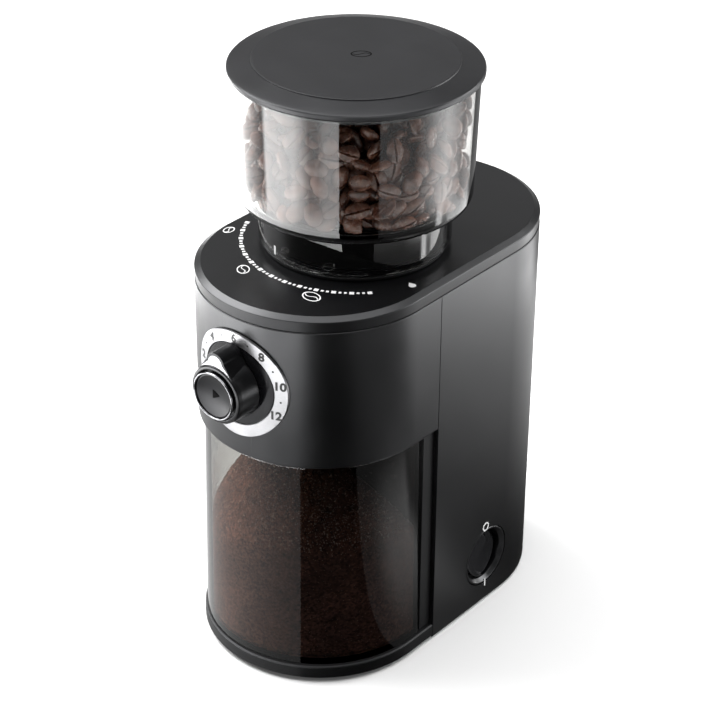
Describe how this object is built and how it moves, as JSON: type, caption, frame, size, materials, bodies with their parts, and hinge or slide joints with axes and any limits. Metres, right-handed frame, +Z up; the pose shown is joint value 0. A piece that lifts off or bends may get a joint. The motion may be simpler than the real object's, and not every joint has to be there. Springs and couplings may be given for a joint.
{
  "type": "burr coffee grinder",
  "caption": "Upright electric burr coffee grinder with a round clear bean hopper, dose selector with start button, and a clear grounds container.",
  "frame": {"origin": "on the surface it stands on, under the middle of the whole object's box", "axes": "+Z up; -Y is the front with the dial and the grounds container; +X is the side with the power rocker"},
  "size_m": [0.1008, 0.1782, 0.253],
  "materials": {
    "black": "satin, fine grain",
    "gloss": "gloss",
    "silver": "satin silver",
    "clear": "clear, lightly smoked",
    "rubber": "matte",
    "steel": "plain",
    "burr": "hardened, ground",
    "brass": "sintered",
    "nylon": "natural",
    "zinc": "as cast",
    "board": "solder mask",
    "ferrite": "moulded"
  },
  "bodies": {
    "housing": {"base_plate": "black", "foot_front_left": "rubber", "foot_front_right": "rubber", "foot_back_left": "rubber", "foot_back_right": "rubber", "base_screw_1": "steel", "base_screw_2": "steel", "base_screw_3": "steel", "base_screw_4": "steel", "rear_housing": "black", "front_housing": "black", "top_cover": "black", "bay_wall": "black", "dial_ring": "silver", "dial_plate": "gloss", "control_board": "board", "potentiometer": "ferrite", "start_switch": "ferrite", "relay": "nylon", "switch_bezel": "black", "switch_body": "ferrite", "cable_inlet": "rubber", "interlock_switch": "ferrite", "motor_can": "zinc", "motor_end_cap": "zinc", "motor_magnet_left": "ferrite", "motor_magnet_right": "ferrite", "motor_mount": "zinc", "gear_case": "nylon", "gear_case_cover": "nylon", "lower_bearing": "brass", "upper_bearing": "brass", "grinding_chamber": "nylon", "chamber_seal": "rubber"},
    "motor_rotor_unit": {"motor_rotor": "steel", "motor_pinion": "brass", "motor_fan": "nylon"},
    "burr_drive": {"burr_shaft": "steel", "driven_gear": "nylon", "burr_carrier": "zinc", "lower_burr": "burr", "feed_screw": "zinc", "shaft_nut": "steel"},
    "grind_ring": {"adjusting_ring": "black"},
    "upper_burr_unit": {"upper_burr": "burr", "upper_burr_holder": "zinc"},
    "hopper": {"hopper_bowl": "clear", "hopper_funnel": "black"},
    "lid": {"hopper_lid": "black"},
    "container": {"grounds_container": "clear"},
    "selector": {"selector_knob": "black", "knob_shaft": "nylon"},
    "start": {"start_button": "black", "button_trim": "silver"},
    "rocker": {"power_rocker": "gloss"},
    "interlock": {"interlock_plunger": "nylon"}
  },
  "joints": [
    {"name": "burr_spin", "type": "hinge", "parent": "housing", "child": "burr_drive", "pos_m": [0, -0.00315, 0.13], "axis": [0, 0, 1], "continuous": true},
    {"name": "motor_spin", "type": "hinge", "parent": "housing", "child": "motor_rotor_unit", "pos_m": [0, 0.03585, 0.06], "axis": [0, 0, 1], "continuous": true},
    {"name": "grind_setting", "type": "hinge", "parent": "housing", "child": "grind_ring", "pos_m": [0, -0.00315, 0.17], "axis": [0, 0, 1], "range_deg": [-56, 63]},
    {"name": "burr_gap", "type": "slide", "parent": "grind_ring", "child": "upper_burr_unit", "axis": [0, 0, 1], "range_m": [-0.00082, 0.00092]},
    {"name": "hopper_lift", "type": "slide", "parent": "grind_ring", "child": "hopper", "axis": [0, 0, 1], "range_m": [0, 0.06]},
    {"name": "lid_lift", "type": "slide", "parent": "hopper", "child": "lid", "axis": [0, 0, 1], "range_m": [0, 0.04]},
    {"name": "container_pull", "type": "slide", "parent": "housing", "child": "container", "axis": [0, -1, 0], "range_m": [0, 0.09]},
    {"name": "dose_selector", "type": "hinge", "parent": "housing", "child": "selector", "pos_m": [0, -0.07495, 0.1391], "axis": [0, 1, 0], "range_deg": [-78, 117]},
    {"name": "start_press", "type": "slide", "parent": "selector", "child": "start", "axis": [0, 1, 0], "range_m": [0, 0.002], "stiffness_N_per_m": 400},
    {"name": "power_toggle", "type": "hinge", "parent": "housing", "child": "rocker", "pos_m": [0.0454, 0.02665, 0.024], "axis": [0, 1, 0], "range_deg": [0, 16]},
    {"name": "interlock_press", "type": "slide", "parent": "housing", "child": "interlock", "axis": [0, 1, 0], "range_m": [0, 0.0012], "stiffness_N_per_m": 200}
  ],
  "couplings": [
    {"joint": "motor_spin", "follows": "burr_spin", "ratio": -3.3333},
    {"joint": "burr_gap", "follows": "grind_setting", "m_per_rad": 0.000818}
  ]
}
